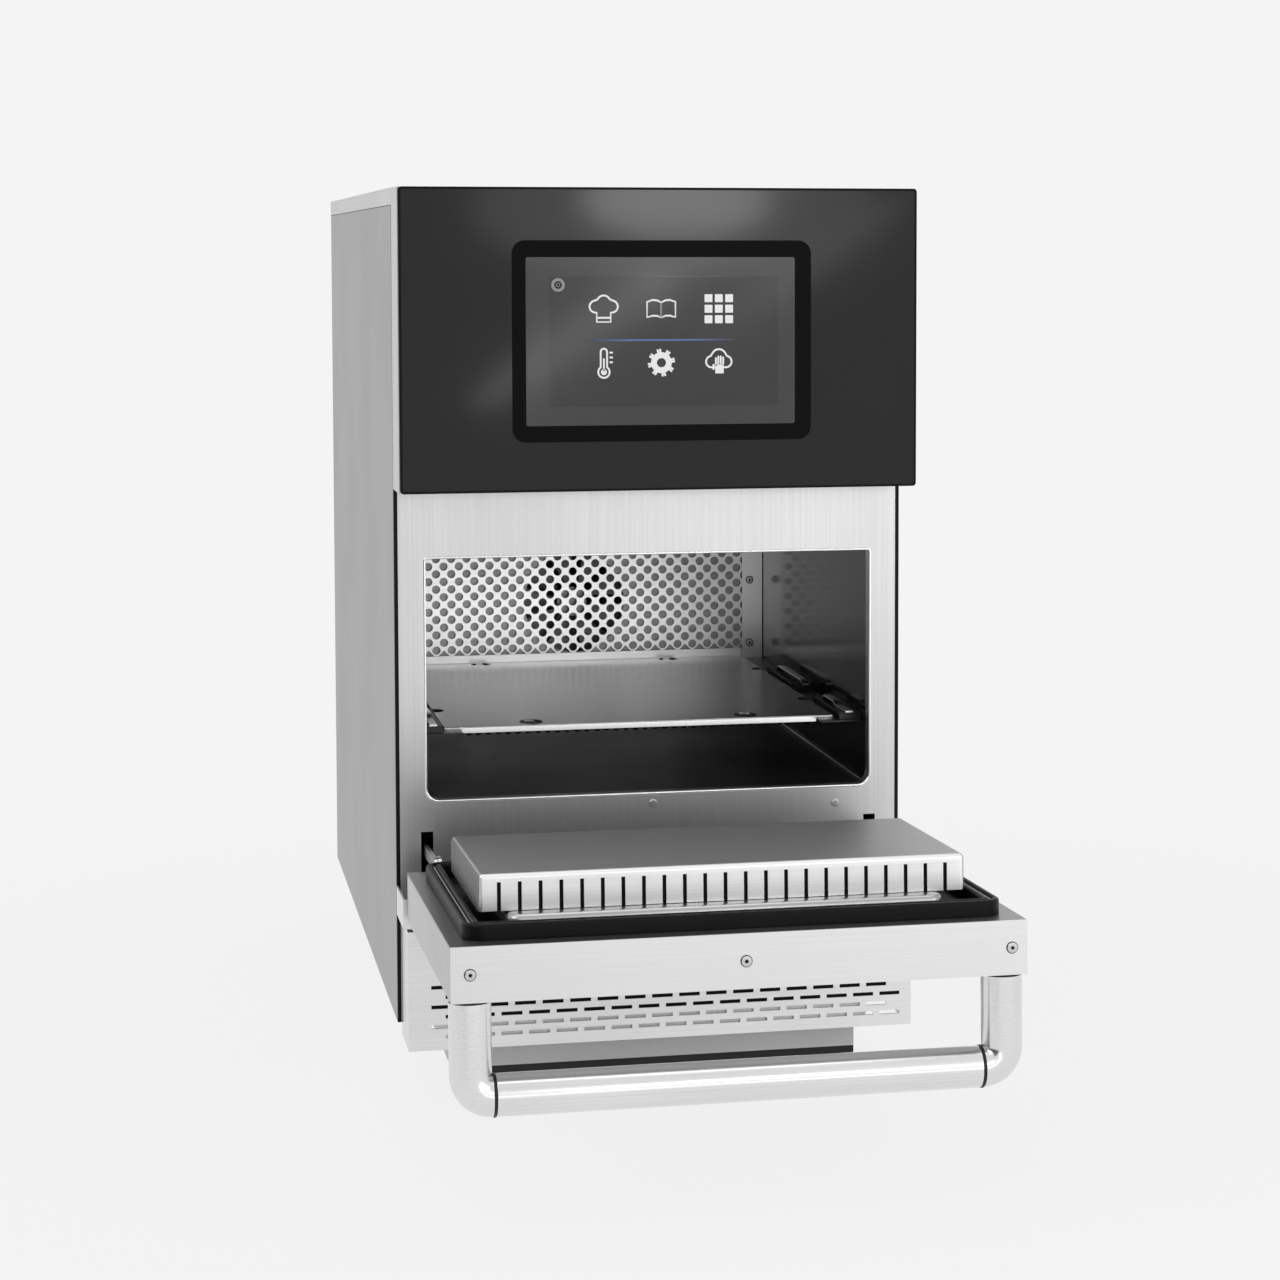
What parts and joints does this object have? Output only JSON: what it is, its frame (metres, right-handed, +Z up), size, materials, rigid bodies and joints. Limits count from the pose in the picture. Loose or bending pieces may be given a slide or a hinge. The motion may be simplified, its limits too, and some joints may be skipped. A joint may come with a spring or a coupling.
{
  "type": "speed oven",
  "caption": "Countertop speed oven with a drop-down slotted door, tube handle, touch control head, cavity with cook plate and pull-off air filter panel.",
  "frame": {"origin": "centre of the footprint on the counter, with the door open and the cord gland counted", "axes": "+Z up, -Y the front where the door opens, +X the right side as seen from the front"},
  "size_m": [0.356, 0.9152, 0.62],
  "materials": {
    "black_glass": "gloss",
    "black_plastic": "matte",
    "black_rubber": "matte",
    "bright_steel": "bright",
    "brushed_steel": "brushed along its length",
    "cast_grey": "matte",
    "circuit_green": "satin",
    "dark_steel": "darkened by heat",
    "display": "gloss",
    "grey_paint": "satin"
  },
  "bodies": {
    "body": {"base_plinth": "grey_paint", "cavity_floor": "dark_steel", "cavity_rear_wall": "dark_steel", "cavity_roof": "dark_steel", "cavity_wall_left": "dark_steel", "cavity_wall_right": "dark_steel", "chassis_floor": "brushed_steel", "control_board": "circuit_green", "control_glass": "black_glass", "control_housing": "grey_paint", "convection_motor": "cast_grey", "cooling_fan_housing": "black_plastic", "cord_gland": "black_plastic", "foot_front_left": "black_rubber", "foot_front_right": "black_rubber", "foot_rear_left": "black_rubber", "foot_rear_right": "black_rubber", "front_frame": "bright_steel", "heating_element": "dark_steel", "hinge_bracket_left": "bright_steel", "hinge_bracket_right": "bright_steel", "hinge_cassette_left": "bright_steel", "hinge_cassette_right": "bright_steel", "hinge_cover": "brushed_steel", "hinge_pin_left": "bright_steel", "hinge_pin_right": "bright_steel", "jet_plate": "dark_steel", "magnetron": "cast_grey", "plate_rail_left": "bright_steel", "plate_rail_right": "bright_steel", "power_supply": "circuit_green", "rear_grille": "bright_steel", "rear_panel": "brushed_steel", "screen_bezel": "black_plastic", "side_panel_left": "brushed_steel", "side_panel_right": "brushed_steel", "top_cover": "brushed_steel", "touch_display": "display", "waveguide": "bright_steel"},
    "door": {"door_outer_skin": "brushed_steel", "door_inner_panel": "bright_steel", "door_edge_cap": "brushed_steel", "door_insulation": "grey_paint", "door_gasket": "black_rubber", "door_pan": "bright_steel", "choke_plug": "brushed_steel", "handle_bar": "bright_steel", "handle_arm_left": "bright_steel", "handle_arm_right": "bright_steel", "handle_ring_left": "black_plastic", "handle_ring_right": "black_plastic", "hinge_arm_left": "bright_steel", "hinge_arm_right": "bright_steel"},
    "stay_link_left": {"stay_link_left": "bright_steel"},
    "stay_link_right": {"stay_link_right": "bright_steel"},
    "cook_plate": {"cook_plate": "cast_grey"},
    "filter_panel": {"filter_panel": "brushed_steel"},
    "convection_fan": {"convection_fan": "bright_steel"},
    "cooling_fan": {"cooling_fan": "black_plastic"}
  },
  "joints": [
    {"name": "door_hinge", "type": "hinge", "parent": "body", "child": "door", "pos_m": [0, -0.17558, 0.1317], "axis": [-1, 0, 0], "range_deg": [0, 87.87]},
    {"name": "stay_link_left_hinge", "type": "hinge", "parent": "door", "child": "stay_link_left", "pos_m": [-0.15725, -0.19616, 0.16749], "axis": [1, 0, 0], "range_deg": [0, 93.25]},
    {"name": "stay_link_right_hinge", "type": "hinge", "parent": "door", "child": "stay_link_right", "pos_m": [0.15725, -0.19616, 0.16749], "axis": [1, 0, 0], "range_deg": [0, 93.25]},
    {"name": "cook_plate_lift", "type": "slide", "parent": "body", "child": "cook_plate", "axis": [0, 0, 1], "range_m": [0, 0.025]},
    {"name": "filter_panel_pull", "type": "slide", "parent": "body", "child": "filter_panel", "axis": [0, -1, 0], "range_m": [0, 0.06]},
    {"name": "convection_fan_spin", "type": "hinge", "parent": "body", "child": "convection_fan", "pos_m": [0, 0.24782, 0.2911], "axis": [0, 1, 0], "continuous": true},
    {"name": "cooling_fan_spin", "type": "hinge", "parent": "body", "child": "cooling_fan", "pos_m": [0, -0.05318, 0.1113], "axis": [0, 1, 0], "continuous": true}
  ],
  "couplings": [
    {"joint": "stay_link_left_hinge", "follows": "door_hinge", "ratio": 1.0603},
    {"joint": "stay_link_right_hinge", "follows": "door_hinge", "ratio": 1.0603}
  ]
}
